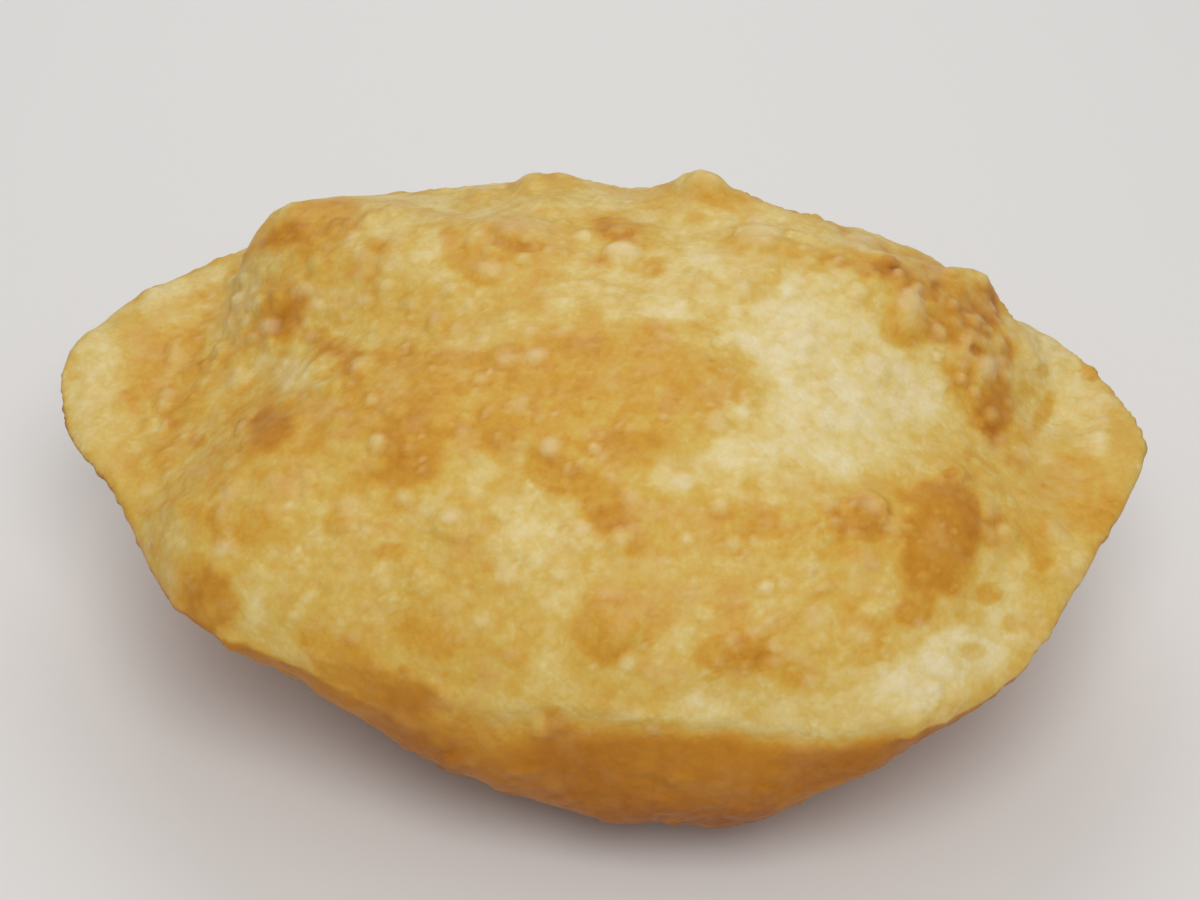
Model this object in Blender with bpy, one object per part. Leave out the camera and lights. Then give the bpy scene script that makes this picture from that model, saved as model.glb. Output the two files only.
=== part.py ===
"""A bhatura: a leavened flatbread that has puffed up in hot oil into a soft pillow.

The bread lies on its belly. Its two skins meet in a rim seam that runs all the way round,
and at the two ends they stay pinched together as a flat flange. X runs along the bread,
Y across it and Z up, with the origin under its middle, on the flat spot that it rests on.
"""

import math
import random

import bmesh
import bpy
from mathutils import Vector, noise

MM = 0.001

# Plan of the rim seam, an oval that is deeper in front, towards -Y
HALF_LENGTH = 110.9 * MM
FRONT_WIDTH = 80.5 * MM
BACK_WIDTH = 73.0 * MM

# Dents and lobes of the rim: direction from +X and half spread in degrees, depth in metres
RIM_LOBES = (
    (6.0, 7.0, 2.0 * MM),
    (68.0, 12.0, 1.6 * MM),
    (96.0, 8.0, -2.0 * MM),
    (124.0, 10.0, 1.4 * MM),
    (149.0, 12.0, 3.4 * MM),
    (180.5, 12.5, 5.0 * MM),
    (200.0, 8.5, -6.4 * MM),
    (207.5, 3.0, -1.8 * MM),
    (214.0, 4.0, -1.5 * MM),
    (223.0, 9.0, 2.4 * MM),
    (229.5, 3.0, -1.8 * MM),
    (248.0, 10.0, -1.2 * MM),
    (270.5, 5.0, -2.6 * MM),
    (316.0, 15.0, 6.4 * MM),
    (338.5, 4.0, -1.5 * MM),
    (350.0, 10.0, -4.2 * MM),
)
LOBE_REACH = 80.0

# Heights above the surface that the bread rests on
RIM_HEIGHT = 47.0 * MM
RIM_RISE_AT_ENDS = 8.0 * MM
DOME_HEIGHT = 38.5 * MM
FOOT_SINK = 0.8 * MM

# Where the rim sags or is lifted: direction and half spread in degrees, rise in metres
RIM_SWAYS = (
    (13.0, 5.0, -2.0 * MM),
    (31.0, 7.0, -0.8 * MM),
    (158.0, 11.0, -3.4 * MM),
    (187.0, 6.0, -2.4 * MM),
    (206.5, 4.0, -2.6 * MM),
    (270.5, 5.0, 1.0 * MM),
    (315.0, 26.0, -3.0 * MM),
    (339.0, 5.0, 2.4 * MM),
)

# Waves that run round the rim: how many, where they start in degrees, and their size
RIM_WAVES = ((5, 60.0, 1.0 * MM), (9, 200.0, 0.6 * MM), (23, 20.0, 0.4 * MM))

# Section of a skin from the middle out to the rim. Fullness: 2 is an ellipse, more is squarer.
# Steepness at the rim: 0.5 is round, 1 a straight slope, more a hollow one.
DOME_SIDE = (2.3, 0.55)
DOME_END = (2.1, 1.15)
DOME_SHOULDER = (4.4, 0.72)
BELLY_SLIM = (2.4, 0.95)
BELLY_HANGING = (2.8, 0.42)

# Where the dome slopes gently, where it has a blunt shoulder and where the belly hangs full:
# direction, half spread, share
GENTLE_ENDS = ((182.0, 46.0, 1.0), (354.0, 44.0, 1.0))
SHOULDERS = ((27.0, 34.0, 1.0), (152.0, 34.0, 1.0))
BELLY_HANGS = ((281.5, 62.0, 1.0), (95.0, 85.0, 0.7))
BELLY_BULGE = 7.0 * MM

# Flanges, where the skins stay pinched together: direction, half spread, share of the radius
FLANGES = ((174.0, 43.0, 0.19), (14.0, 32.0, 0.17))
BELLY_FLANGE = 0.5
LIP_THICKNESS = 4.2 * MM
LIP_BLEND = 9.0 * MM
LIP_TAPER = 7.0

# Pleats across a flange, at the foot of the dome: direction, half spread, waves in a turn, size
PLEATS = ((172.0, 22.0, 41, 0.8 * MM), (14.0, 24.0, 38, 0.5 * MM))
PLEATS_AT = 0.80
PLEATS_WIDE = 0.13

# Swellings and large blisters. Place: turn from +X and lift over the rim, in degrees, as seen
# from the heart of the bread. Then half width and rise in millimetres.
BLISTERS = (
    (155.0, 35.0, 11.0, 5.5),
    (19.0, 34.0, 10.0, 5.0),
    (25.0, 27.0, 7.0, 3.5),
    (133.0, 51.0, 14.0, -4.0),
    (40.0, 46.0, 13.0, -2.2),
    (12.0, 45.0, 9.0, 2.6),
    (17.0, 34.0, 6.0, 2.0),
    (21.6, 51.0, 5.0, 1.6),
    (135.0, 69.5, 10.0, 1.8),
    (116.0, 60.0, 4.5, 2.6),
    (71.0, 51.0, 7.5, 4.4),
    (88.0, 72.0, 6.5, 1.8),
    (46.0, 63.0, 5.5, 1.5),
    (353.7, 60.2, 5.0, 1.2),
    (330.2, 36.4, 11.0, 1.8),
    (324.0, 44.6, 4.5, 1.3),
    (263.0, 59.7, 4.5, 1.5),
    (279.5, 29.5, 7.0, 1.4),
    (295.2, 24.0, 6.0, 1.2),
    (298.0, 76.0, 22.0, 1.2),
    (206.8, 47.0, 6.0, 1.2),
    (228.7, 55.1, 9.0, 1.2),
    (249.2, 45.6, 5.5, 1.2),
    (172.0, 51.0, 7.0, 1.8),
    (186.0, 41.0, 8.0, 1.6),
    (212.0, 24.0, 9.0, 1.4),
    (29.0, 30.5, 6.8, 5.6),
    (39.0, 34.0, 9.0, -2.8),
    (151.0, 37.0, 8.0, 2.6),
    (136.0, 35.0, 11.0, -2.8),
    (80.0, 45.0, 6.0, 2.2),
    (301.0, -28.0, 14.0, 2.6),
    (311.0, -18.0, 6.0, 1.6),
)

# Further blisters, spread over the back and the belly
SPREAD_SEED = 5
SPREAD_COUNT = 60
SPREAD_HALF_WIDTH = (4.5, 9.0)
SPREAD_RISE = (0.5, 1.7)
BACK_TURNS = (25.0, 160.0)
BACK_LIFTS = (8.0, 55.0)
BELLY_LIFTS = (-58.0, -8.0)

# Uneven swell of both skins: size of the swells and their rise
SWELLS = ((42.0 * MM, 1.5 * MM), (19.0 * MM, 0.9 * MM), (9.5 * MM, 0.45 * MM))

# The crust runs flat where it is nearer than this to the surface below
FOOT_FADE = 5.0 * MM

# Mesh of six square faces, blown up into a ball, and how often its folds are rounded off
CELLS_ALONG_FACE = 31
ROUNDINGS = 3

# Look of the fried crust: colour, roughness
CRUST_COLOUR = (0.58, 0.34, 0.085, 1.0)
CRUST_ROUGHNESS = 0.5


def bump(distance, spread):
    """One at no distance, falling smoothly to nothing by about twice the spread."""
    return math.exp(-((distance / spread) ** 2))


def mix(first, second, share):
    """A value between two others, or a pair of values between two pairs."""
    if isinstance(first, tuple):
        return tuple(mix(a, b, share) for a, b in zip(first, second))
    return first + (second - first) * share


def turn_between(angle, other):
    """The shortest turn between two directions, in degrees."""
    return abs((angle - other + 180.0) % 360.0 - 180.0)


def towards(turn, lift):
    """The unit vector that points this way from the heart of the bread, from degrees."""
    turn, lift = math.radians(turn), math.radians(lift)
    level = math.cos(lift)
    return Vector((level * math.cos(turn), level * math.sin(turn), math.sin(lift)))


def turn_and_share(direction):
    """The turn of a direction from +X, in degrees, and how far out to the rim it points."""
    turn = math.degrees(math.atan2(direction.y, direction.x)) % 360.0
    return turn, math.sqrt(max(1.0 - direction.z**2, 0.0))


def oval_radius(angle):
    """How far the plain oval is from the middle, in a direction given in degrees."""
    rise = math.sin(math.radians(angle))
    across = rise / (BACK_WIDTH if rise > 0.0 else FRONT_WIDTH)
    along = math.cos(math.radians(angle)) / HALF_LENGTH
    return 1.0 / math.hypot(across, along)


def lobe_depth(angle, share):
    """How far the crust stands out from the plain oval, where narrow lobes stay near the rim."""
    return sum(
        depth * bump(turn_between(angle, direction), spread) * share ** (LOBE_REACH / spread)
        for direction, spread, depth in RIM_LOBES
    )


def rim_height(angle):
    """The rim's height, which waves, rises towards the ends and sags at the right of the front."""
    height = RIM_HEIGHT + RIM_RISE_AT_ENDS * abs(math.cos(math.radians(angle))) ** 3
    for direction, spread, rise in RIM_SWAYS:
        height += rise * bump(turn_between(angle, direction), spread)
    for waves, start, size in RIM_WAVES:
        height += size * math.sin(math.radians(waves * angle + start))
    return height


def share_towards(angle, table):
    """What a table of directions, half spreads and shares gives in this direction."""
    total = 0.0
    for direction, spread, share in table:
        apart = min(turn_between(angle, direction) / spread, 1.0)
        total += share * 0.5 * (1.0 + math.cos(math.pi * apart))
    return total


def smooth_max(first, second, blend):
    """The larger of two heights, with the change from one to the other rounded off."""
    gap = max(blend - abs(first - second), 0.0)
    return max(first, second) + gap * gap / (4.0 * blend + 1e-9)


def skin_rise(share, full, section, pouch):
    """How far a skin stands off the rim's height, at a share of the way out to the rim."""
    fullness, steepness = section
    inside = max(1.0 - (share / pouch) ** fullness, 0.0)
    taper = math.sqrt(max(1.0 - share**LIP_TAPER, 0.0))
    return smooth_max(full * inside**steepness, LIP_THICKNESS * taper, LIP_BLEND * taper)


def dome_rise(share, angle):
    """How far the top skin stands over the rim's height."""
    flange = share_towards(angle, FLANGES)
    section = mix(DOME_SIDE, DOME_END, share_towards(angle, GENTLE_ENDS))
    section = mix(section, DOME_SHOULDER, share_towards(angle, SHOULDERS))
    return skin_rise(share, DOME_HEIGHT, section, 1.0 - flange)


def belly_drop(share, angle, base):
    """How far the lower skin hangs below the rim's height."""
    section = mix(BELLY_SLIM, BELLY_HANGING, share_towards(angle, BELLY_HANGS))
    pouch = 1.0 - BELLY_FLANGE * share_towards(angle, FLANGES)
    return skin_rise(share, base + FOOT_SINK, section, pouch)


def crust_point(direction):
    """The point of the plain crust that lies in this direction from the heart of the bread."""
    angle, share = turn_and_share(direction)
    reach = oval_radius(angle) * share + lobe_depth(angle, share)
    height = mix(RIM_HEIGHT, rim_height(angle), share**4)
    if direction.z >= 0.0:
        height += dome_rise(share, angle)
    else:
        height -= belly_drop(share, angle, height)
        reach -= BELLY_BULGE * share_towards(angle, BELLY_HANGS) * 2.0 * share * direction.z
    x = reach * math.cos(math.radians(angle))
    y = reach * math.sin(math.radians(angle))
    return Vector((x, y, max(height, 0.0)))


def all_blisters():
    """Place on the plain crust, half width and rise of every large blister, in metres."""
    found = [(crust_point(towards(turn, lift)), w * MM, h * MM) for turn, lift, w, h in BLISTERS]
    chance = random.Random(SPREAD_SEED)
    for number in range(SPREAD_COUNT):
        if number % 3 == 0:
            way = towards(chance.uniform(*BACK_TURNS), chance.uniform(*BACK_LIFTS))
        else:
            way = towards(chance.uniform(0.0, 360.0), chance.uniform(*BELLY_LIFTS))
        half_width = chance.uniform(*SPREAD_HALF_WIDTH) * MM
        found.append((crust_point(way), half_width, chance.uniform(*SPREAD_RISE) * MM))
    return found


def pleat(direction):
    """How far the pleats of the flanges lift the top skin in this direction."""
    angle, share = turn_and_share(direction)
    rise = 0.0
    if direction.z > 0.0:
        for middle, spread, waves, size in PLEATS:
            near = bump(turn_between(angle, middle), spread) * bump(share - PLEATS_AT, PLEATS_WIDE)
            rise += size * near * math.sin(math.radians(waves * angle))
    return rise


def relief(spot, blisters):
    """How far the crust stands out at a spot of its plain form."""
    rise = 0.0
    for place, half_width, height in blisters:
        rise += height * bump((spot - place).length, half_width)
    for size, height in SWELLS:
        rise += height * noise.noise(spot / size)
    return rise


def ball_mesh():
    """A ball of six square grids, each cell about the same size, as a bmesh."""
    mesh = bmesh.new()
    corners = {}
    last = CELLS_ALONG_FACE

    def corner(key):
        if key not in corners:
            spot = Vector([math.tan((2.0 * k / last - 1.0) * math.pi / 4.0) for k in key])
            corners[key] = mesh.verts.new(spot.normalized())
        return corners[key]

    for axis in range(3):
        for side in (0, last):
            for i in range(last):
                for j in range(last):
                    keys = []
                    for di, dj in ((0, 0), (1, 0), (1, 1), (0, 1)):
                        key = [i + di, j + dj]
                        key.insert(axis, side)
                        keys.append(tuple(key))
                    outward = (side == last) == (axis != 1)
                    if not outward:
                        keys.reverse()
                    mesh.faces.new([corner(key) for key in keys])
    return mesh


def crust_material():
    """Golden fried dough with a slight oily gloss."""
    material = bpy.data.materials.new("fried_crust")
    material.use_nodes = True
    shader = material.node_tree.nodes["Principled BSDF"]
    shader.inputs["Base Color"].default_value = CRUST_COLOUR
    shader.inputs["Roughness"].default_value = CRUST_ROUGHNESS
    return material


def build_bhatura():
    """The whole bread, as one closed skin round solid crumb."""
    mesh = ball_mesh()
    ways = [vert.co.copy() for vert in mesh.verts]
    for vert, way in zip(mesh.verts, ways):
        vert.co = crust_point(way)
    above_foot = [vert for vert in mesh.verts if vert.co.z > 0.0]
    for _ in range(ROUNDINGS):
        bmesh.ops.smooth_vert(
            mesh, verts=above_foot, factor=0.5, use_axis_x=True, use_axis_y=True, use_axis_z=True
        )
    mesh.normal_update()
    blisters = all_blisters()
    moves = []
    for vert, way in zip(mesh.verts, ways):
        height = relief(vert.co, blisters) + pleat(way)
        moves.append(vert.normal * height * min(vert.co.z / FOOT_FADE, 1.0))
    for vert, move in zip(mesh.verts, moves):
        vert.co += move
        vert.co.z = max(vert.co.z, 0.0)
    low_x, high_x = (pick(vert.co.x for vert in mesh.verts) for pick in (min, max))
    low_y, high_y = (pick(vert.co.y for vert in mesh.verts) for pick in (min, max))
    middle = Vector(((low_x + high_x) / 2.0, (low_y + high_y) / 2.0, 0.0))
    for vert in mesh.verts:
        vert.co -= middle
    data = bpy.data.meshes.new("bhatura")
    mesh.to_mesh(data)
    mesh.free()
    data.shade_smooth()
    data.materials.append(crust_material())
    thing = bpy.data.objects.new("bhatura", data)
    bpy.context.scene.collection.objects.link(thing)
    return thing


for old in list(bpy.data.objects):
    bpy.data.objects.remove(old)

build_bhatura()
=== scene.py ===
"""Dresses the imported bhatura: a finer crust with its blisters, browned patches and oily gloss."""

import math
import random

import bmesh
import bpy
import numpy as np
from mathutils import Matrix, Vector
from mathutils.bvhtree import BVHTree
from mathutils.kdtree import KDTree


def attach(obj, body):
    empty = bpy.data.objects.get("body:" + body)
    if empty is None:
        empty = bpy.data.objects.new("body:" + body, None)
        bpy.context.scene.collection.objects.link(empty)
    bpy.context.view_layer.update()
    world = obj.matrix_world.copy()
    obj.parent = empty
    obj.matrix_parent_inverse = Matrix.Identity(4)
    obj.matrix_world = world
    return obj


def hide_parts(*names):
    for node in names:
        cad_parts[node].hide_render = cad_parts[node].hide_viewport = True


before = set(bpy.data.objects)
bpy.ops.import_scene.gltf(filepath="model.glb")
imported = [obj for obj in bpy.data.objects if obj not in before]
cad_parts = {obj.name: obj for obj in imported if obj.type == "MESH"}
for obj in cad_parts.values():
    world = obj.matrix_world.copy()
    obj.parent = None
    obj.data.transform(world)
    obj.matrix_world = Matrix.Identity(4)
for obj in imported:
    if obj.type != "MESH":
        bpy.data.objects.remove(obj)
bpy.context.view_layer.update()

MM = 0.001

# Camera, as the photograph was taken: turn and rise in degrees, distance in metres, the
# photograph's size and the focal length in its pixels, and the sensor's width in millimetres
CAMERA_TURN = 8.0
CAMERA_RISE = 42.0
CAMERA_DISTANCE = 0.62
CAMERA_TARGET = Vector((2.30, -1.44, 50.8)) * MM
PHOTO_WIDTH = 1200
PHOTO_HEIGHT = 900
FOCAL_PIXELS = 3016.0
SENSOR_WIDTH = 36.0
CLIP_START = 0.01

# Mesh of the dressed crust
VOXEL = 1.035 * MM
SAME_POINT = 0.01 * MM
FLAT_ENOUGH = math.radians(60.0)
SUBDIVISIONS = 2
ROUND_PASSES = 4

# What the photograph shows: how far a point has to face the camera, passes that soften it, and
# from which share a point counts as shown
SEEN_FACING = 0.25
SEEN_PASSES = 6
SEEN_FROM = 0.5

# Ground of the side that the photograph shows, then its patches. Place and half sizes in the
# photograph's pixels, tilt in degrees clockwise, how brown the crust is there, from 0 to 1,
# and how fully the patch covers what lies under it. Later ones lie over earlier ones.
GROUND = {
    "top right back": (800, 226, 120, 30, 14, 0.22, 0.8),
    "low centre": (620, 700, 90, 24, 0, 0.50, 0.7),
    "left": (240, 440, 260, 190, 0, 0.39, 0.8),
    "upper left": (390, 290, 140, 70, 0, 0.31, 0.8),
    "lower left": (330, 590, 190, 90, 25, 0.34, 0.8),
    "low middle": (560, 650, 210, 80, 0, 0.38, 0.8),
    "low right": (800, 600, 170, 80, -10, 0.39, 0.8),
    "right slope": (1040, 530, 60, 120, 20, 0.28, 0.7),
    "right flange": (1090, 440, 60, 80, -30, 0.23, 0.7),
    "right flange, upper": (1050, 350, 60, 36, 35, 0.18, 0.7),
    "left flange": (88, 390, 36, 90, 10, 0.17, 0.8),
    "left flange, inner": (150, 390, 40, 80, 0, 0.34, 0.7),
    "left flange, edge": (180, 285, 60, 14, -22, 0.14, 0.8),
    "left flange, low": (112, 468, 26, 30, 30, 0.34, 0.7),
    "top back": (560, 195, 260, 22, 0, 0.30, 0.7),
    "top middle": (640, 292, 90, 34, 0, 0.15, 0.85),
    "top left": (420, 232, 60, 36, 0, 0.25, 0.7),
    "right centre": (835, 385, 120, 90, 22, 0.09, 0.9),
    "right centre, top": (790, 305, 120, 50, 16, 0.15, 0.8),
    "right centre, core": (788, 345, 60, 64, 20, 0.03, 0.6),
    "right centre, foot": (1000, 500, 30, 70, 0, 0.26, 0.6),
    "between": (540, 548, 74, 56, 20, 0.25, 0.9),
    "between, link": (690, 470, 80, 30, 20, 0.30, 0.8),
    "between, left": (470, 500, 50, 40, 0, 0.28, 0.7),
    "left low": (290, 600, 60, 36, 20, 0.34, 0.6),
    "left bulge": (226, 566, 12, 24, -20, 0.24, 0.6),
    # Front rim and sheen: paler along the lip above the seam as a painted sheen
    "front rim": (770, 712, 200, 24, -3, 0.25, 0.8),
    "painted sheen": (935, 670, 90, 32, -24, 0.05, 0.9),
    "right front": (1012, 600, 30, 50, 25, 0.24, 0.7),
}
PATCHES = {
    "centre": (612, 378, 110, 50, 3, 0.54, 0.85),
    "centre, right": (716, 384, 62, 46, 10, 0.47, 0.8),
    "centre, low": (622, 444, 56, 24, 8, 0.60, 0.8),
    "centre, left": (548, 352, 44, 24, 0, 0.50, 0.7),
    "arm": (446, 366, 70, 28, 6, 0.60, 0.8),
    "arm, core": (468, 360, 38, 12, 4, 0.66, 0.6),
    "arm, low": (502, 420, 32, 42, 35, 0.62, 0.8),
    "slant, upper": (558, 472, 40, 26, 28, 0.66, 0.85),
    "slant, lower": (606, 506, 42, 26, 38, 0.65, 0.85),
    "slant, tip": (652, 550, 17, 9, 10, 0.43, 0.7),
    "slant, side": (660, 500, 40, 20, 30, 0.44, 0.6),
    "left centre": (402, 446, 44, 46, 0, 0.68, 0.9),
    "left centre, link": (416, 404, 52, 22, -10, 0.56, 0.7),
    "left centre, wide": (346, 440, 40, 46, 0, 0.48, 0.6),
    "upper left, wide": (400, 320, 64, 30, 0, 0.46, 0.6),
    "dark spot left, side": (300, 440, 34, 30, 0, 0.58, 0.6),
    "mottle": (284, 306, 34, 34, 10, 0.62, 0.8),
    "mottle, core": (290, 322, 20, 22, 0, 0.80, 0.7),
    "mottle, streak": (336, 348, 38, 15, 26, 0.68, 0.85),
    "mottle, crescent": (352, 382, 13, 30, -12, 0.66, 0.8),
    "mottle, left": (246, 344, 34, 22, 0, 0.52, 0.7),
    "mottle, under": (290, 402, 52, 14, 0, 0.52, 0.7),
    "valley crease": (196, 350, 9, 36, -6, 0.60, 0.8),
    "valley crease, top": (212, 320, 20, 9, -10, 0.40, 0.8),
    "flange, mottle": (150, 352, 18, 30, 0, 0.46, 0.8),
    "valley, low": (185, 425, 30, 46, 0, 0.42, 0.7),
    "bulge": (310, 224, 64, 32, -14, 0.58, 0.85),
    "bulge, core": (288, 240, 34, 18, -24, 0.76, 0.85),
    "bulge, top": (332, 206, 28, 10, -4, 0.64, 0.7),
    "bulge, foot": (246, 268, 22, 20, -40, 0.42, 0.7),
    "bulge, pale": (281, 211, 11, 8, -30, 0.28, 0.7),
    "top row": (508, 240, 62, 26, 4, 0.44, 0.8),
    "top row, left": (470, 262, 26, 18, 20, 0.60, 0.7),
    "top row, spot": (480, 281, 16, 8, 10, 0.56, 0.8),
    # Painted shadow: a dark strip under the top row's flat blister
    "top row, painted shadow": (524, 247, 34, 5, 2, 0.70, 0.7),
    "bump dimple": (515, 187, 9, 7, 0, 0.58, 0.8),
    # Browner foot of the dome blister, partly a painted shadow under it
    "dome blister, foot": (655, 268, 14, 9, -20, 0.60, 0.8),
    "dome blister, side": (580, 262, 16, 14, 0, 0.20, 0.6),
    "ridge, right": (722, 198, 38, 12, 18, 0.54, 0.8),
    "ridge, spot": (694, 220, 12, 8, 0, 0.50, 0.7),
    "top right": (790, 250, 60, 16, 16, 0.27, 0.7),
    "top right, band": (862, 264, 52, 14, 14, 0.60, 0.8),
    "cluster": (940, 298, 56, 34, 24, 0.53, 0.85),
    "cluster, left": (906, 318, 26, 34, 0, 0.46, 0.85),
    "cluster, upper": (928, 282, 22, 18, 20, 0.52, 0.7),
    "cluster, spot": (986, 318, 22, 24, 0, 0.64, 0.8),
    "column": (976, 376, 26, 58, -12, 0.56, 0.85),
    "column, core": (990, 414, 20, 30, -10, 0.73, 0.85),
    "column, inner": (953, 368, 17, 32, -10, 0.63, 0.8),
    "column, outer": (1010, 350, 14, 24, 0, 0.52, 0.7),
    "flange right, arc": (1045, 410, 7, 26, 20, 0.58, 0.8),
    "flange right, end": (1126, 450, 20, 40, -10, 0.52, 0.7),
    "flange right, low": (1082, 486, 60, 40, 10, 0.56, 0.7),
    "flange right, rim": (1100, 512, 20, 18, 30, 0.58, 0.8),
    "oval, top": (930, 498, 36, 14, 4, 0.64, 0.7),
    "oval, foot": (918, 606, 26, 20, 0, 0.40, 0.7),
    "row, right": (864, 524, 34, 28, 0, 0.48, 0.8),
    "row, left": (752, 534, 52, 32, 12, 0.52, 0.8),
    "row, left core": (768, 528, 24, 14, 0, 0.60, 0.7),
    "row, under": (800, 574, 80, 40, 0, 0.40, 0.6),
    "low streak": (737, 604, 14, 34, 6, 0.54, 0.7),
    "low, left": (702, 574, 20, 16, 0, 0.48, 0.6),
    "spot j": (428, 636, 34, 22, 0, 0.52, 0.8),
    "spot k": (335, 520, 16, 18, 0, 0.52, 0.8),
    "spot l": (226, 517, 20, 18, 0, 0.54, 0.8),
    "spot m": (640, 437, 16, 8, 0, 0.60, 0.6),
    "spot n": (378, 247, 16, 8, 0, 0.52, 0.8),
    "turned lobe": (212, 602, 32, 38, -40, 0.72, 0.85),
    "turned lobe, start": (192, 566, 16, 16, 30, 0.56, 0.8),
    "front left foot": (352, 668, 70, 26, 40, 0.66, 0.8),
    "dark spot left": (270, 432, 26, 30, -10, 0.80, 0.85),
    "spot f": (1040, 520, 14, 20, 0, 0.56, 0.8),
    "spot g": (1041, 556, 12, 20, 0, 0.56, 0.8),
    "pale by centre": (745, 442, 52, 36, 0, 0.08, 0.8),
    "pale by slant": (486, 492, 46, 34, 0, 0.24, 0.8),
    "pale by slant, low": (505, 566, 22, 30, 0, 0.31, 0.7),
    "pale beads": (673, 476, 28, 18, 0, 0.16, 0.8),
    "pale by oval": (908, 578, 16, 30, -30, 0.36, 0.6),
    "pale in row": (810, 570, 16, 16, 0, 0.30, 0.7),
    "pale left low": (345, 612, 44, 26, 0, 0.26, 0.7),
    "pale on flange": (114, 428, 20, 20, 0, 0.20, 0.7),
    "pale top back": (622, 208, 36, 10, 0, 0.24, 0.7),
    "by right flange": (1012, 528, 44, 32, 0, 0.52, 0.7),
    "in cluster": (940, 333, 24, 18, 0, 0.66, 0.8),
    "by column": (1002, 404, 13, 34, 0, 0.72, 0.8),
    "over centre": (655, 330, 56, 14, 0, 0.50, 0.7),
    "upper left": (382, 318, 22, 20, 0, 0.46, 0.7),
    "by arm": (440, 418, 40, 22, 0, 0.60, 0.7),
    "left low": (236, 528, 60, 26, 0, 0.50, 0.7),
    "front left": (404, 694, 46, 24, 20, 0.76, 0.8),
    "over oval": (952, 478, 20, 10, 0, 0.56, 0.7),
    # Painted sheen: paler on the lip along the front rim
    "pale low right": (842, 680, 26, 18, 0, 0.20, 0.7),
    "pale valley top": (184, 310, 22, 18, 0, 0.28, 0.7),
    "top middle": (704, 300, 20, 12, 0, 0.32, 0.6),
    "by mottle": (380, 374, 18, 24, 0, 0.58, 0.7),
    "pale top": (585, 243, 30, 12, 0, 0.14, 0.7),
    "by right crest": (972, 444, 22, 16, 0, 0.40, 0.6),
    "pale low middle": (500, 620, 30, 22, 0, 0.28, 0.6),
    "pale arch": (284, 374, 56, 17, 10, 0.25, 0.8),
    "left middle": (284, 486, 34, 18, 0, 0.50, 0.7),
    "valley, grey": (182, 392, 18, 44, 8, 0.44, 0.6),
    "flange, inner foot": (152, 366, 18, 34, 0, 0.58, 0.6),
    "pale upper left": (336, 300, 20, 18, 0, 0.26, 0.7),
    "pale left bulge": (170, 530, 20, 30, -20, 0.34, 0.7),
    "pale top back left": (592, 200, 40, 12, 0, 0.20, 0.6),
    "shell": (946, 472, 19, 15, 0, 0.36, 0.7),
    "by round": (580, 572, 20, 16, 0, 0.34, 0.6),
    "left of arm": (352, 408, 24, 22, 0, 0.56, 0.7),
    "under arm": (548, 434, 40, 20, 0, 0.58, 0.7),
    "right flange foot": (1062, 512, 34, 22, 0, 0.50, 0.7),
    "right of row": (852, 580, 28, 26, 0, 0.52, 0.7),
    "in row": (758, 552, 36, 16, 0, 0.48, 0.6),
    "pale over arm": (450, 298, 28, 22, 0, 0.20, 0.7),
    "pale by lobe": (224, 560, 12, 18, 0, 0.32, 0.7),
    "dome blister, top": (624, 254, 19, 10, 0, 0.02, 0.8),
    "arm, end": (508, 362, 14, 28, 0, 0.60, 0.7),
    "arm, foot": (503, 452, 16, 16, 0, 0.58, 0.7),
    "by shell": (914, 462, 14, 14, 0, 0.44, 0.7),
    "top right slope": (775, 272, 20, 12, 0, 0.36, 0.6),
    "pale over centre": (565, 310, 22, 12, 0, 0.16, 0.7),
    "pale over arm's end": (400, 336, 12, 12, 0, 0.30, 0.6),
    "pale over row": (820, 504, 22, 14, 0, 0.26, 0.7),
    "pale by slant's foot": (488, 494, 24, 42, 0, 0.22, 0.7),
    "left of middle": (356, 412, 24, 30, 0, 0.60, 0.6),
    "pale by red ring": (640, 216, 22, 12, 0, 0.20, 0.7),
    "pale by dome blister": (624, 267, 34, 9, 0, 0.12, 0.7),
    # Painted sheen: paler on the lip along the front rim
    "pale front right": (905, 704, 46, 14, -12, 0.16, 0.7),
    "top row, left end": (452, 238, 15, 12, 0, 0.60, 0.8),
    "top row, right": (556, 240, 22, 12, 0, 0.42, 0.7),
    "front spot": (557, 720, 16, 18, 0, 0.62, 0.8),
    "crest, pale": (962, 276, 30, 12, 22, 0.36, 0.8),
    # Paler on the steep left wall: partly its own paler crust, partly painted light that lifts its
    # shade
    "left top": (242, 290, 22, 30, 20, 0.24, 0.7),
    "valley, top": (222, 340, 20, 28, 20, 0.28, 0.7),
    "bulge, foot rim": (262, 262, 26, 10, -40, 0.40, 0.6),
    "centre, low left": (568, 402, 42, 24, 0, 0.60, 0.7),
    "pale right of ridge": (722, 228, 22, 12, 0, 0.22, 0.7),
    "top right, low": (862, 306, 26, 20, 0, 0.25, 0.6),
    "under cluster": (930, 356, 30, 16, 0, 0.34, 0.7),
    # Painted shade in the groove along the front seam
    "front rim": (652, 727, 56, 9, 0, 0.50, 0.7),
    "crest, mottle": (985, 300, 14, 10, 30, 0.70, 0.6),
    "crest, mottle left": (934, 270, 12, 9, 0, 0.50, 0.6),
    "left centre, foot": (402, 474, 42, 11, 0, 0.66, 0.8),
    "centre, top": (600, 345, 70, 14, 0, 0.58, 0.7),
    "centre, foot": (630, 440, 34, 12, 0, 0.68, 0.7),
    "pale over centre right": (700, 310, 60, 12, 8, 0.16, 0.7),
    "upper left middle": (360, 300, 26, 42, 0, 0.42, 0.6),
    "left of pale": (346, 488, 22, 34, 0, 0.47, 0.6),
    "low left spot": (400, 562, 34, 16, 0, 0.46, 0.6),
    "over shell": (905, 440, 24, 26, 0, 0.32, 0.6),
    # Painted sheen: paler on the lip along the front rim
    "pale front middle": (845, 700, 44, 12, 0, 0.15, 0.7),
    "valley, foot": (172, 462, 20, 26, 10, 0.48, 0.6),
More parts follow.
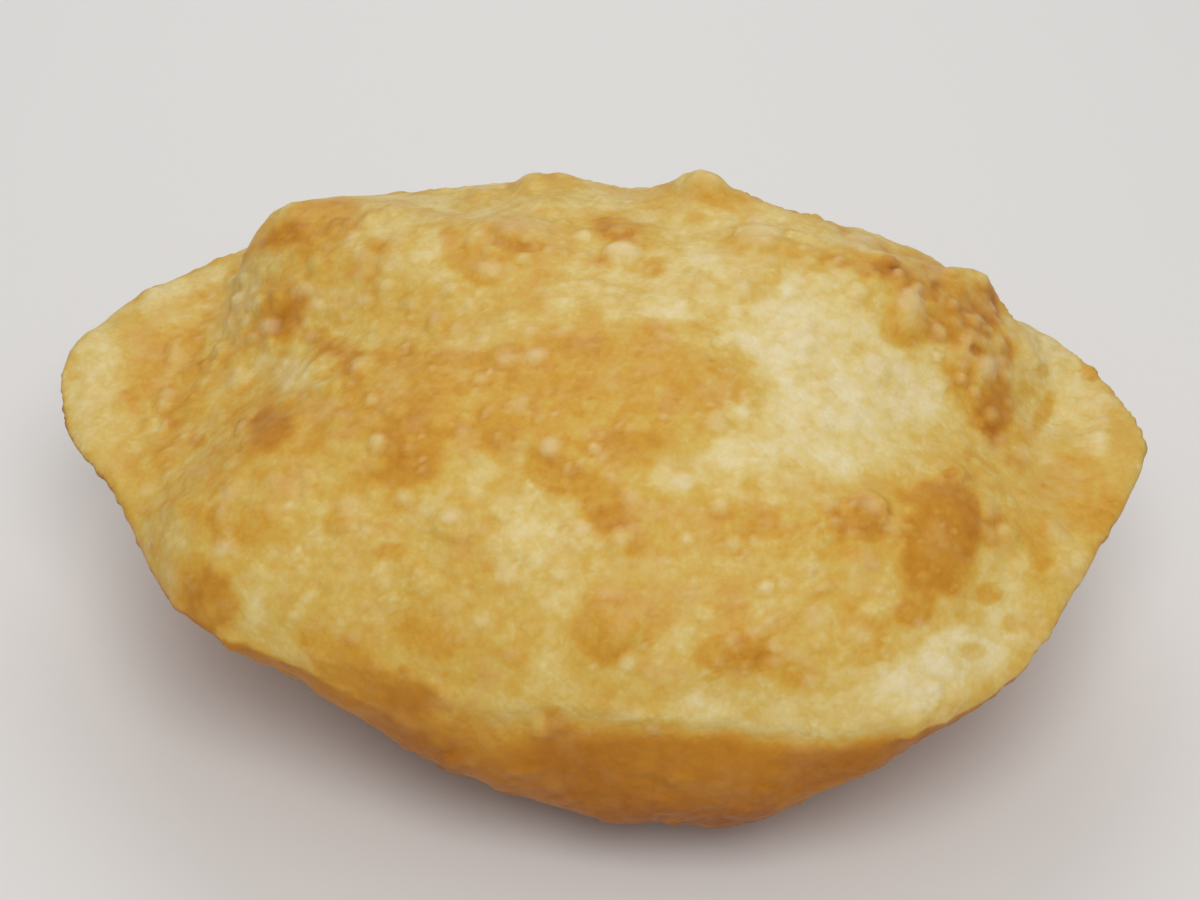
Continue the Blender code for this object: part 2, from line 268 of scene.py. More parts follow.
    "pale left front": (292, 602, 24, 18, 0, 0.24, 0.7),
    "column, top": (976, 330, 12, 12, 0, 0.66, 0.6),
    "low centre": (612, 702, 36, 13, 0, 0.50, 0.7),
    "front middle": (760, 602, 34, 22, 0, 0.42, 0.6),
}

# Spots with a clearer edge, in the same form
DISCS = {
    "spot by valley": (199, 441, 10, 9, 0, 0.60, 0.9),
    "flange, spot": (132, 396, 10, 9, 0, 0.52, 0.8),
    "red ring": (614, 229, 25, 10, 12, 0.52, 0.85),
    "top right, dark": (886, 266, 16, 10, 0, 0.74, 0.8),
    # Painted shade: a dark crescent under the large bubble of the cluster
    "cluster, painted shade crescent": (902, 337, 22, 12, 8, 0.56, 0.8),
    "flange right, spot": (1042, 371, 9, 8, 0, 0.48, 0.8),
    "flange right, nick": (1090, 372, 11, 9, 20, 0.62, 0.8),
    "oval": (939, 543, 45, 62, 8, 0.74, 0.9),
    "oval, dark": (962, 526, 20, 46, 6, 0.80, 0.6),
    # Browner foot of the blister in the row, partly painted shade
    "row, blister foot": (873, 534, 18, 10, 0, 0.58, 0.8),
    "row, blister": (867, 513, 14, 20, 0, 0.64, 0.8),
    "row, middle": (842, 526, 14, 18, 0, 0.58, 0.7),
    "round": (610, 629, 34, 36, 0, 0.58, 0.85),
    "round, foot": (613, 640, 24, 20, 0, 0.58, 0.6),
    "small": (724, 652, 31, 20, 6, 0.60, 0.8),
    "small, tail": (780, 668, 46, 16, 14, 0.54, 0.8),
    "spot a": (988, 593, 14, 12, 0, 0.56, 0.9),
    "spot b": (914, 612, 20, 15, 0, 0.60, 0.9),
    "spot c": (864, 622, 11, 10, 0, 0.52, 0.8),
    "spot d": (1014, 624, 16, 11, 0, 0.44, 0.8),
    "spot e": (972, 652, 15, 10, 0, 0.36, 0.8),
    "spot h": (1014, 461, 10, 9, 0, 0.48, 0.8),
    "spot i": (391, 552, 15, 11, 0, 0.52, 0.8),
    "cluster, orange": (935, 291, 5, 14, 0, 0.74, 0.8),
    "cluster, right": (988, 312, 12, 14, 0, 0.70, 0.7),
    # Painted shade in the crevice between the column's bubbles
    "column, painted crevice shade": (974, 350, 8, 7, 0, 0.80, 0.8),
    "column, side": (1007, 352, 8, 16, 0, 0.70, 0.8),
    "column, lower end": (990, 430, 10, 8, 0, 0.80, 0.7),
    "over the oval": (950, 476, 8, 8, 0, 0.68, 0.8),
    # Pale cap of the blister in the row, partly a painted highlight
    "row, blister top": (878, 497, 10, 9, 0, 0.34, 0.7),
    "red ring, dark": (604, 227, 10, 8, 0, 0.72, 0.7),
}

# How far noise bends a patch's edge, as a share of its smaller half size, up to a largest one.
# Each noise here and below is a list of sizes, strengths and seeds. The shifts give the bend
# across and the bend along seeds of their own.
PATCH_BEND = 0.30
DISC_BEND = 0.12
PATCH_BEND_MOST = 36.0
BEND_NOISE = ((8.0 * MM, 1.0, 20), (3.6 * MM, 0.6, 21))
BEND_SHIFTS = (0, 2)

# Shares of the half size between which a patch fades out
PATCH_FADE = (0.55, 1.2)
DISC_FADE = (0.72, 1.12)

# Thin pinkish skin on top of some blisters, partly a painted highlight on their tops: place and
# half sizes in the photograph's pixels, tilt, how pink, and how fully it covers
HAZES = {
    "dome blister": (624, 254, 20, 11, 0, 0.4, 0.8),
    "top row": (528, 228, 34, 12, 0, 0.6, 0.6),
    "top right": (858, 242, 22, 9, 10, 0.9, 0.8),
    "striped ring": (758, 235, 24, 12, 0, 0.7, 0.6),
    "column": (987, 366, 15, 13, 0, 0.8, 0.8),
    "upper right": (912, 303, 17, 15, 0, 0.8, 0.8),
    "cap": (550, 445, 11, 9, 0, 0.6, 0.6),
    "oval top": (938, 466, 8, 6, 0, 0.4, 0.7),
    "left": (284, 486, 22, 12, 0, 0.6, 0.6),
    "valley": (198, 472, 16, 8, 0, 0.6, 0.6),
    "left mottle": (272, 327, 13, 9, 0, 0.7, 0.7),
    "left mottle, low": (288, 372, 26, 13, 0, 0.4, 0.6),
    "left upper": (334, 298, 18, 13, 0, 0.5, 0.5),
    "top left": (489, 271, 14, 7, 0, 0.5, 0.6),
    # Painted glint on the top of bead i
    "bead i": (537, 356, 11, 8, 0, 0.7, 0.7),
    # Painted light: paler and pinker on the left wall, lifting its shade
    "left wall": (234, 308, 18, 28, 16, 0.35, 0.7),
}

# Blisters that the photograph shows: place in its pixels, half length and half width in
# millimetres, height in millimetres, how far the middle has sunk back, from 0 to 1, and how
# pale its top is, from 0 to 1, which is partly a painted highlight
BLISTERS = {
    "dome blister": (622, 252, 4.6, 3.6, 1.3, 0, 0.3),
    "red ring": (614, 228, 5.0, 3.4, 0.9, 0.4, 0),
    "striped ring": (758, 235, 5.6, 3.6, 1.1, 0.5, 0.3),
    "upper right": (911, 316, 4.6, 5.4, 2.0, 0, 0.5),
    "column": (986, 368, 3.8, 3.2, 1.3, 0, 0.5),
    "crest a": (948, 275, 2.2, 2.2, 0.9, 0, 0.7),
    "crest b": (978, 287, 2.4, 2.2, 0.8, 0, 0.6),
    "crest c": (952, 305, 1.8, 1.9, 0.6, 0, 0.7),
    "crest d": (898, 273, 1.7, 1.6, 0.7, 0, 0.7),
    # The cap and the beads have pale tops, partly painted glints
    "cap": (550, 447, 3.0, 2.8, 1.1, 0, 1),
    "bead a": (621, 539, 2.9, 2.8, 0.9, 0, 1),
    "bead b": (376, 442, 2.3, 2.4, 0.8, 0, 1),
    "bead c": (404, 497, 2.8, 2.2, 0.6, 0, 1),
    "bead d": (683, 481, 3.0, 2.0, 0.7, 0, 1),
    "bead e": (720, 507, 2.2, 2.2, 0.6, 0, 1),
    "bead f": (733, 543, 2.2, 2.0, 0.6, 0, 1),
    "bead g": (765, 588, 2.2, 1.8, 0.5, 0, 1),
    "bead h": (686, 539, 1.8, 1.8, 0.4, 0, 1),
    "bead i": (537, 357, 2.6, 2.2, 0.9, 0, 1),
    "bead j": (481, 380, 2.0, 1.8, 0.6, 0, 1),
    "bead k": (371, 401, 1.8, 1.8, 0.5, 0, 1),
    "bead l": (525, 259, 2.2, 1.8, 0.8, 0, 1),
    "bead m": (595, 448, 1.6, 1.6, 0.4, 0, 1),
    "ring left": (457, 520, 5.4, 4.2, 0.7, 0.9, 0.1),
    "ring left, small": (449, 517, 2.0, 1.6, 0.4, 0, 0.8),
    "ring right": (870, 368, 4.0, 4.0, 0.6, 0.9, 0.1),
    "ring pale": (801, 340, 3.4, 2.8, 0.5, 0.8, 0.2),
    "small blister": (871, 509, 3.6, 4.4, 1.0, 0.6, 0.2),
    "large left": (296, 374, 7.6, 4.6, 0.45, 0.2, 0.4),
    "left a": (270, 327, 2.6, 2.2, 0.5, 0, 0.5),
    "left b": (362, 364, 3.4, 3.0, 0.8, 0, 0.5),
    "left c": (300, 290, 3.0, 2.4, 0.6, 0, 0.5),
    "left d": (238, 300, 3.4, 2.6, 0.7, 0, 0.4),
    "left e": (222, 352, 2.6, 3.2, 0.7, 0, 0.4),
    "left f": (240, 380, 3.2, 3.0, 0.7, 0, 0.5),
    "valley a": (176, 352, 2.2, 4.0, 0.7, 0, 0.3),
    "valley b": (166, 402, 2.2, 4.0, 0.6, 0, 0.3),
    "top row": (524, 228, 7.0, 4.0, 1.0, 0.3, 0.1),
    "top row, left": (487, 270, 3.6, 3.0, 0.7, 0, 0.4),
    "top right": (866, 242, 5.4, 3.2, 1.0, 0.1, 0.7),
    "top right, low": (858, 292, 2.6, 2.6, 0.6, 0, 0.6),
    "pale a": (706, 298, 3.6, 4.4, 0.5, 0.3, 0.4),
    "pale b": (742, 292, 2.4, 2.4, 0.4, 0, 0.6),
    "pale c": (735, 313, 2.2, 1.8, 0.4, 0, 0.6),
    "bump": (531, 184, 4.6, 4.2, 1.6, 0, 0.2),
    "ridge": (700, 182, 6.4, 4.2, 1.7, 0, 0),
    "round patch": (611, 625, 6.6, 6.0, 0.6, 0.3, 0),
    "small patch": (728, 652, 6.0, 3.6, 0.5, 0.3, 0),
    "oval": (942, 540, 8.6, 12.0, 0.7, 0.3, 0),
    "oval top": (947, 474, 3.6, 3.2, 0.8, 0.8, 0),
    "spot b": (914, 611, 3.4, 2.6, 0.4, 0, 0),
    "nick": (1090, 371, 2.4, 2.0, 0.9, 0, 0),
    "flange": (1108, 402, 3.0, 3.0, 0.5, 0, 0.3),
    "back a": (364, 300, 2.6, 2.0, 0.6, 0, 0.6),
    "back b": (411, 303, 3.0, 2.2, 0.6, 0, 0.6),
    "back c": (450, 290, 2.4, 2.0, 0.6, 0, 0.6),
    "front a": (505, 572, 2.6, 3.4, 0.4, 0, 0.4),
    "front b": (444, 602, 3.0, 2.6, 0.4, 0, 0.4),
    "front c": (226, 517, 3.6, 3.4, 0.4, 0.3, 0.2),
    "crest e": (918, 287, 1.7, 1.6, 0.5, 0, 0.7),
    "crest f": (984, 308, 3.2, 3.8, 0.9, 0, 0.4),
    "crest g": (968, 285, 7.8, 5.2, 2.6, 0, 0.2),
    "crest h": (940, 332, 2.3, 2.1, 0.7, 0, 0.7),
    "crest i": (938, 356, 1.4, 1.3, 0.5, 0, 0.7),
    "column a": (1001, 344, 2.2, 3.0, 0.7, 0, 0.6),
    "column b": (975, 392, 1.8, 1.7, 0.6, 0, 0.6),
    "column c": (992, 415, 2.4, 2.4, 0.8, 0, 0.6),
    "column d": (962, 378, 1.6, 2.2, 0.6, 0, 0.6),
}

# Shades of a named blister: browning at its edge, partly painted shade round its foot, and on
# its top, and how pink its top is. The paler, pinker top is partly a painted highlight.
NAMED_EDGE = 0.07
NAMED_TOP = -0.16
NAMED_PINK = 0.60

# Profile of a blister, in shares of its radius: how its dome rounds off, the crest of a sunken
# one, the low moat round it and its depth, the browned edge, partly painted shade, where the shade
# of its top starts to fade, and how far out it reaches. It fades too where the crust turns away
# from it.
DOME_POWER = 1.5
CREST_AT, CREST_WIDTH = 0.72, 0.2
MOAT_AT, MOAT_WIDTH, MOAT_DEPTH = 1.15, 0.2, 0.08
EDGE_AT, EDGE_WIDTH = 1.05, 0.3
TOP_FROM = 0.1
BLISTER_REACH = 1.5
BLISTER_FACING = 0.4

# Seam of the two skins along the front, as columns and rows of the photograph's pixels
SEAM = (
    (150, 610), (190, 640), (240, 660), (300, 668), (350, 674), (400, 692), (450, 711), (504, 725),
    (548, 712), (589, 722), (650, 731), (722, 731), (771, 737), (831, 741), (903, 734), (960, 718),
    (1000, 700), (1035, 664), (1056, 640),
)

# Groove and lip along the seam: height, then place past the seam and width in millimetres
SEAM_GROOVE = 0.45 * MM
SEAM_GROOVE_AT, SEAM_GROOVE_WIDTH = 0.9, 2.4
SEAM_LIP = 0.6 * MM
SEAM_LIP_AT, SEAM_LIP_WIDTH = -3.2, 2.6

# The colours change over this stretch past the seam, times how soft the seam is: sharp on the
# right, and softer before this column of pixels. Only what faces the front has a seam.
SEAM_CHANGE = (-1.5, 2.8)
SEAM_SHARP = 1.3
SEAM_SOFTER = 2.5
SEAM_SOFT_BEFORE = 660
SEAM_SOFT_OVER = 200.0
SEAM_FACING = (-0.2, 0.2)
SEAM_NOISE = ((6.0 * MM, 0.6, 36),)
PIXELS_PER_MM = 4.87

# Crowded bubbles that the photograph shows: place and half sizes in its pixels, tilt, how
# many, then least and most radius in millimetres. Most of them are near the least.
BUBBLES_SEED = 7
BUBBLE_POWER = 2
BUBBLES = {
    "cluster": (945, 298, 60, 38, 25, 20, 1.5, 3.0),
    "column": (984, 384, 26, 56, -8, 12, 1.3, 2.4),
    "top right": (840, 255, 70, 20, 14, 20, 1.0, 2.6),
    "striped": (760, 238, 50, 20, 8, 14, 1.0, 2.2),
    "top row": (512, 236, 76, 26, 3, 26, 1.0, 2.6),
    "top middle": (620, 262, 60, 28, 0, 18, 1.0, 2.2),
    "bulge": (315, 228, 66, 34, -12, 26, 1.0, 2.6),
    "mottle": (290, 340, 90, 50, 16, 44, 1.1, 2.8),
    "valley": (186, 400, 34, 76, 0, 26, 1.0, 2.6),
    "centre": (620, 385, 130, 56, 2, 70, 0.9, 1.7),
    "arm": (440, 400, 80, 60, 0, 44, 0.9, 2.0),
    "slant": (600, 500, 80, 44, 30, 36, 0.9, 1.9),
    "row": (790, 530, 100, 44, 4, 40, 0.9, 2.0),
    "oval": (940, 545, 44, 58, 8, 12, 0.9, 1.8),
    "front": (740, 640, 140, 40, 0, 40, 0.9, 1.8),
    "left low": (330, 550, 130, 60, 20, 44, 0.9, 2.0),
    "left wall": (216, 330, 46, 54, 20, 30, 1.2, 2.8),
}

# A crowded bubble's height as a share of its radius, and how that varies, its width as a share
# of its length, how its edge and top are browned, how pink it is, and how often it is pink
BUBBLE_RISE = 0.23
BUBBLE_HEIGHTS = (0.5, 1.2)
BUBBLE_WIDTHS = (0.75, 1.1)
BUBBLE_EDGE = 0.03
BUBBLE_TOPS = (-0.10, 0.03)
BUBBLE_PINKS = (0.2, 0.7)
BUBBLE_PINK_ODDS = 0.35

# How much further blisters and mottles reach along the view, so that they look round on a
# slope too
SEEN_DEPTH = 1.8
SEEN_STRETCH = 1.6

# Small blisters of the whole crust: how many, their sizes, most of them near the least, how
# they crowd, then values like those above, how deep they are, and how often and far one sinks
SMALL_SEED = 11
SMALL_COUNT = 5200
SMALL_LEAST = 1.1 * MM
SMALL_SPREAD = 2.4 * MM
SMALL_POWER = 2.5
SMALL_CROWDS = ((26.0 * MM, 1.0, 3),)
SMALL_CROWDING = (-1.4, 0.3)
SMALL_RISE = 0.15
SMALL_HEIGHTS = (0.3, 1.4)
SMALL_WIDTHS = (0.7, 1.0)
SMALL_TOPS = (-0.09, 0.05)
SMALL_PINKS = (0.2, 0.6)
SMALL_PINK_ODDS = 0.2
SMALL_DEPTH = 2.0
SMALL_SUNK_ODDS = 0.1
SMALL_SUNK = 0.8

# Upward share from which a direction counts as upright
UPRIGHT = 0.9

# Patches of the sides that the photograph doesn't show: first wide pale sweeps, then browned
# patches over them, each with a count, sizes and browning, then how fully both cover, how far
# noise bends them, and how far out they are looked for
HIDDEN_SEED = 23
HIDDEN_SWEEPS = 26
HIDDEN_SWEEP_LEAST = 16.0 * MM
HIDDEN_SWEEP_SPREAD = 20.0 * MM
HIDDEN_SWEEP_LEVELS = (0.14, 0.46)
HIDDEN_COUNT = 190
HIDDEN_LEAST = 3.0 * MM
HIDDEN_SPREAD = 13.0 * MM
HIDDEN_POWER = 2.2
HIDDEN_LEVELS = (0.46, 0.74)
HIDDEN_COVER = 0.8
HIDDEN_BEND = 3.0 * MM
HIDDEN_REACH = 1.3
HIDDEN_NOISE = ((9.0 * MM, 1.0, 40), (4.0 * MM, 0.6, 50))

# Swells of the crust, then mottled browning: size, strength and seed
CRUST_SWELLS = ((14.0 * MM, 0.34 * MM, 10), (7.0 * MM, 0.24 * MM, 11), (3.6 * MM, 0.12 * MM, 12))
MOTTLES = ((11.0 * MM, 0.07, 42), (6.5 * MM, 0.08, 37), (3.4 * MM, 0.07, 34), (1.9 * MM, 0.03, 33))

# How much less mottled patches are that are browner than their ground by this much, and how
# much less the blisters colour the belly
PATCH_CALM = 0.45
PATCH_CALM_FROM = (0.04, 0.20)
BELLY_CALM = 0.6

# How much less pink the bubbles and small blisters are where the crust is this brown
BROWN_CLEAN = 0.7
BROWN_CLEAN_FROM = (0.55, 0.75)

# How brown the crust is without its patches, on the dome and on the belly, and how that varies.
# The belly's brown is partly painted shade, and darker towards the floor as painted shadow.
DOME_BROWN = 0.38
DOME_NOISE = ((24.0 * MM, 0.08, 30),)
BELLY_BROWN = 0.82
BELLY_PAINTED_SHADOW = 0.16
BELLY_NOISE = ((16.0 * MM, 0.06, 35),)
RIM_LEVEL = 50.0 * MM

# Upward share of the outward direction where the belly starts and where it is full, how its
# edge wavers, and the height over the floor under which the crust stays as it was packed
BELLY_STARTS = 0.06
BELLY_FULL = -0.14
BELLY_EDGE_NOISE = ((12.0 * MM, 0.04, 34),)
REST_CLEAR = 4.0 * MM

# Where a noise's cells start and how far a seed moves them, then factors that scatter them
NOISE_START = 100.0
NOISE_APART = 17.3
SCATTER = (73856093, 19349663, 83492791)
SCATTER_SEED = 2654435
SCATTER_AGAIN = 1274126177

# Colour of the crust, from pale to dark brown, as linear red, green and blue
CRUST_COLOURS = (
    (0.00, (0.795, 0.685, 0.415)),
    (0.20, (0.728, 0.566, 0.218)),
    (0.38, (0.660, 0.440, 0.094)),
    (0.56, (0.630, 0.338, 0.042)),
    (0.74, (0.535, 0.230, 0.018)),
    # The darkest stops colour mostly the belly, where they carry its painted shade too
    (0.90, (0.425, 0.148, 0.007)),
    (1.00, (0.290, 0.082, 0.004)),
)
# Pinkish beige of the blisters' thin skin and painted highlights, and how fully it covers
HAZE_COLOUR = (0.74, 0.54, 0.29)
HAZE_COVER = 0.6

# Noises of the crust's material: lumps to the metre and levels of detail, and how rough they are
GRAIN = (420.0, 2.0)
FINE_GRAIN = (1300.0, 2.0)
CLOUDS = (150.0, 3.0)
GLOSS = (240.0, 2.0)
NOISE_ROUGH = 0.55

# Bubble mounds of the material to the metre, and the stretch of a cell over which they fall
# from 1 to 0
MOUNDS = 760.0
WIDE_MOUNDS = 330.0
MOUND_FALL = (0.1, 0.75, 1.0, 0.0)

# How much each part of the material changes the browning, and how that goes from 1 down to a
# third as the crust browns
SPECKLE = {"grain": 0.20, "fine": 0.03, "shade": 0.06, "wide shade": 0.08, "mounds": -0.04}
SPECKLE_QUIET = (0.50, 0.80, 1.0, 0.35)

# Beige clouds of the crust: how strong, and how far they cover it at most
CLOUD_GAIN = 1.2
CLOUD_MOST = 0.16

# Relief of the material: share of each part, then how strong and how high in all
RELIEF = {"mounds": 0.4, "wide mounds": 1.0, "fine": 0.05, "grain": 0.15}
RELIEF_STRENGTH = 0.32
RELIEF_HEIGHT = 0.4 * MM

# Gloss of the crust: least roughness and how much it varies, then the other surface values
ROUGHNESS_LEAST = 0.30
ROUGHNESS_VARIES = 0.34
SURFACE = {
    "Subsurface Weight": 0.10,
    "Subsurface Radius": (1.0, 0.55, 0.22),
    "Subsurface Scale": 1.4 * MM,
    "Coat Weight": 0.04,
    "Coat Roughness": 0.3,
    "IOR": 1.36,
    "Specular IOR Level": 0.26,
}

# Studio: the lights' place and size in metres and power in watts, what they aim at, the light
# all round, and the floor
LIGHTS = {
    "key": ((0.11, -0.43, 0.74), 0.42, 2.75),
    "back": ((-0.10, 0.48, 0.58), 0.6, 1.3),
}
LIGHTS_AIM = Vector((0.0, 0.0, 0.04))
AMBIENT_COLOUR = (1.0, 0.99, 0.97)
AMBIENT_STRENGTH = 0.46
FLOOR_HALF = 30.0
FLOOR_BELOW = 0.1 * MM
FLOOR_COLOUR = (0.80, 0.79, 0.78)
FLOOR_ROUGHNESS = 0.7


def smoothstep(low, high, value):
    """0 below low, 1 above high, and a smooth change between them."""
    share = np.clip((value - low) / (high - low), 0.0, 1.0)
    return share * share * (3.0 - 2.0 * share)


def hump(values, middle, width):
    """1 where a value is the middle one, and smoothly less on both sides of it."""
    return np.exp(-(((values - middle) / width) ** 2))


def lattice_noise(points, size, seed):
    """Smooth noise from -1 to 1 at each point, whose lumps are about this size."""
    spots = points / size + NOISE_START + NOISE_APART * seed
    base = np.floor(spots).astype(np.int64)
    part = spots - base
    part = part * part * part * (part * (part * 6.0 - 15.0) + 10.0)
    total = np.zeros(len(points))
    for corner in range(8):
        step = np.array([corner & 1, corner >> 1 & 1, corner >> 2 & 1])
        mixed = np.bitwise_xor.reduce((base + step) * np.array(SCATTER), axis=1)
        mixed = mixed ^ seed * SCATTER_SEED
        mixed = (mixed ^ mixed >> 13) * SCATTER_AGAIN & 0xFFFFFFFF
        value = ((mixed ^ mixed >> 16) & 0xFFFF) / 32767.5 - 1.0
        weight = np.prod(np.where(step == 1, part, 1.0 - part), axis=1)
        total += value * weight
    return total


def noises(points, layers, shift=0):
    """Noises together, each given by its size, strength and seed, which the shift changes."""
    return sum(change * lattice_noise(points, size, seed + shift) for size, change, seed in layers)


def new_object(name, data):
    """Adds an object with this data to the scene."""
    thing = bpy.data.objects.new(name, data)
    bpy.context.scene.collection.objects.link(thing)
    return thing


def crust_base():
    """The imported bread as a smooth, even mesh that is fine enough for its blisters."""
    shape = bmesh.new()
    shape.from_mesh(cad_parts["bhatura"].data)
    bmesh.ops.remove_doubles(shape, verts=shape.verts, dist=SAME_POINT)
    flat = {"angle_face_threshold": FLAT_ENOUGH, "angle_shape_threshold": FLAT_ENOUGH}
    bmesh.ops.join_triangles(shape, faces=shape.faces, **flat)
    data = bpy.data.meshes.new("crust_form")
    shape.to_mesh(data)
    shape.free()
    rough = new_object("crust_form", data)
    finer = rough.modifiers.new("finer", "SUBSURF")
    finer.levels = SUBDIVISIONS
    even = rough.modifiers.new("even", "REMESH")
    even.mode = "VOXEL"
    even.voxel_size = VOXEL
    graph = bpy.context.evaluated_depsgraph_get()
    mesh = bpy.data.meshes.new_from_object(rough.evaluated_get(graph))
    even.show_viewport = False
    graph = bpy.context.evaluated_depsgraph_get()
    smooth = bpy.data.meshes.new_from_object(rough.evaluated_get(graph))
    tree = tree_of(smooth)
    bpy.data.meshes.remove(smooth)
    bpy.data.objects.remove(rough)
    points = rows_of(mesh.vertices, "co", 3)
    edges = edges_of(mesh)
    for _ in range(ROUND_PASSES):
        points = spread(points, edges)
    points = np.array([tree.find_nearest(Vector(spot))[0] for spot in points])
    store(mesh, points)
    mesh.name = "crust"
    return mesh


def rows_of(items, name, width, kind=float):
    """What a mesh's points or edges hold under this name, as an array of rows."""
    found = np.empty(len(items) * width, kind)
    items.foreach_get(name, found)
    return found.reshape(-1, width)


def edges_of(mesh):
    """The pairs of points that a mesh's edges join."""
    return rows_of(mesh.edges, "vertices", 2, np.int32)


def store(mesh, points):
    """Moves a mesh's points to these places."""
    mesh.vertices.foreach_set("co", points.ravel())
    mesh.update()


def tree_of(mesh):
    """A search tree of a mesh's faces."""
    polygons = [tuple(face.vertices) for face in mesh.polygons]
    return BVHTree.FromPolygons([vert.co for vert in mesh.vertices], polygons)


def spread(values, edges):
    """Each point's value, evened out with those of its neighbours."""
    table = values if values.ndim == 2 else values[:, None]
    size = len(table)
    total, count = np.zeros_like(table), np.zeros(size)
    for here, there in (edges.T, edges.T[::-1]):
        for column in range(table.shape[1]):
            total[:, column] += np.bincount(here, table[there, column], size)
        count += np.bincount(here, minlength=size)
    evened = 0.5 * table + 0.5 * total / count[:, None]
    return evened if values.ndim == 2 else evened[:, 0]


class PhotoView:
    """The camera of the photograph, between points of the object and pixels."""

    def __init__(self):
        turn, rise = math.radians(CAMERA_TURN), math.radians(CAMERA_RISE)
        level = math.cos(rise)
        self.back = Vector((math.sin(turn) * level, -math.cos(turn) * level, math.sin(rise)))
        self.right = Vector((math.cos(turn), math.sin(turn), 0.0))
        self.up = self.back.cross(self.right)
        self.axes = (self.right, self.up, self.back)
        self.eye = CAMERA_TARGET + CAMERA_DISTANCE * self.back

    def pixels(self, points):
        """The photograph's pixel columns and rows of these points."""
        away = points - np.array(self.eye)
        depth = -(away @ np.array(self.back))
        column = PHOTO_WIDTH / 2 + FOCAL_PIXELS * (away @ np.array(self.right)) / depth
        row = PHOTO_HEIGHT / 2 - FOCAL_PIXELS * (away @ np.array(self.up)) / depth
        return column, row

    def hit(self, tree, column, row):
        """Where the ray through this pixel meets the crust, and the outward direction there."""
        ray = self.right * (column - PHOTO_WIDTH / 2) + self.up * (PHOTO_HEIGHT / 2 - row)
        spot, normal, _, _ = tree.ray_cast(self.eye, (ray - self.back * FOCAL_PIXELS).normalized())
        return spot, normal

    def seen(self, tree, points, outward):
        """From 0 to 1, how well the photograph shows each point."""
        towards = np.array(self.eye) - points
        towards /= np.linalg.norm(towards, axis=1)[:, None]
        facing = np.sum(towards * outward, axis=1)
        share = smoothstep(0.0, SEEN_FACING, facing)
        for index in np.nonzero(share > 0.0)[0]:
            start = Vector(points[index]) + Vector(outward[index]) * MM
            if tree.ray_cast(start, Vector(towards[index]))[0] is not None:
                share[index] = 0.0
        return share


def ellipse_share(column, row, shape, warp, bend_share, fade):
    """From 1 inside a tilted ellipse of the photograph to 0 outside it, with a ragged edge."""
    x, y, half_x, half_y, tilt = shape
    turn = math.radians(tilt)
    bend = bend_share * min(half_x, half_y, PATCH_BEND_MOST)
    away_x, away_y = column + warp[0] * bend - x, row + warp[1] * bend - y
    along = (away_x * math.cos(turn) + away_y * math.sin(turn)) / half_x
    across = (away_y * math.cos(turn) - away_x * math.sin(turn)) / half_y
    return 1.0 - smoothstep(*fade, np.sqrt(along**2 + across**2))


def painted(values, table, place, bend_share=PATCH_BEND, fade=PATCH_FADE):
    """The values with a table's patches laid over them, one after another."""
    column, row, warp, shown = place
    for *shape, level, cover in table.values():
        share = cover * shown * ellipse_share(column, row, shape, warp, bend_share, fade)
        values = values + (level - values) * share
    return values


def finder(points):
    """A search tree of points."""
    tree = KDTree(len(points))
    for index, spot in enumerate(points):
        tree.insert(spot, index)
    tree.balance()
    return tree


def near(tree, spot, reach):
    """The numbers of the points within reach of a spot."""
    return np.array([found[1] for found in tree.find_range(spot, reach)], dtype=np.int64)


def blister_profile(far, sunk):
    """Height share of a blister at a share of its radius, with a middle that may have sunk."""
    dome = np.clip(1.0 - far**2, 0.0, None) ** DOME_POWER
    crest = hump(far, CREST_AT, CREST_WIDTH)
    moat = hump(far, MOAT_AT, MOAT_WIDTH)
    return (1.0 - sunk) * dome + sunk * crest - MOAT_DEPTH * moat


class Crust:
    """The crust's points, and the height, browning and pink of the blisters raised on it."""

    def __init__(self, mesh, view):
        self.view = view
        self.points = rows_of(mesh.vertices, "co", 3)
        self.outward = rows_of(mesh.vertex_normals, "vector", 3)
        self.tree = tree_of(mesh)
        self.finder = finder(self.points)
        self.height, self.brown, self.haze = (np.zeros(len(self.points)) for _ in range(3))

    def raise_blister(self, spot, normal, axes, sizes, rise, sunk, shades):
        """Adds one blister: three directions, its half sizes, and shades of edge, top and pink."""
        found = near(self.finder, Vector(spot), BLISTER_REACH * max(sizes))
        if len(found) == 0:
            return
        away = self.points[found] - np.array(spot)
        far = np.linalg.norm(away @ np.array(axes).T / np.array(sizes), axis=1)
        side = smoothstep(0.0, BLISTER_FACING, self.outward[found] @ np.array(normal))
        edge, top, pink = shades
        self.height[found] += rise * blister_profile(far, sunk) * side
        self.brown[found] += edge * hump(far, EDGE_AT, EDGE_WIDTH) * side
        self.brown[found] += top * (1.0 - smoothstep(TOP_FROM, EDGE_AT, far)) * side
        self.haze[found] += pink * (1.0 - smoothstep(0.0, 1.0, far)) * side

    def raise_seen(self, column, row, sizes, rise, sunk, shades):
        """Adds one blister where the photograph shows it."""
        spot, normal = self.view.hit(self.tree, column, row)
        if spot is not None:
            sizes = (*sizes, SEEN_DEPTH * max(sizes))
            self.raise_blister(spot, normal, self.view.axes, sizes, rise, sunk, shades)


def raise_named_blisters(crust):
    """Adds the blisters that are placed one by one."""
    for column, row, half_length, half_width, rise, sunk, pale in BLISTERS.values():
        sizes = (half_length * MM, half_width * MM)
        shades = (NAMED_EDGE, NAMED_TOP * pale, NAMED_PINK * pale)
        crust.raise_seen(column, row, sizes, rise * MM, sunk, shades)


def some_pink(chance, pinks, odds):
    """How pink the next blister is, which most aren't."""
    return chance.uniform(*pinks) if chance.random() < odds else 0.0


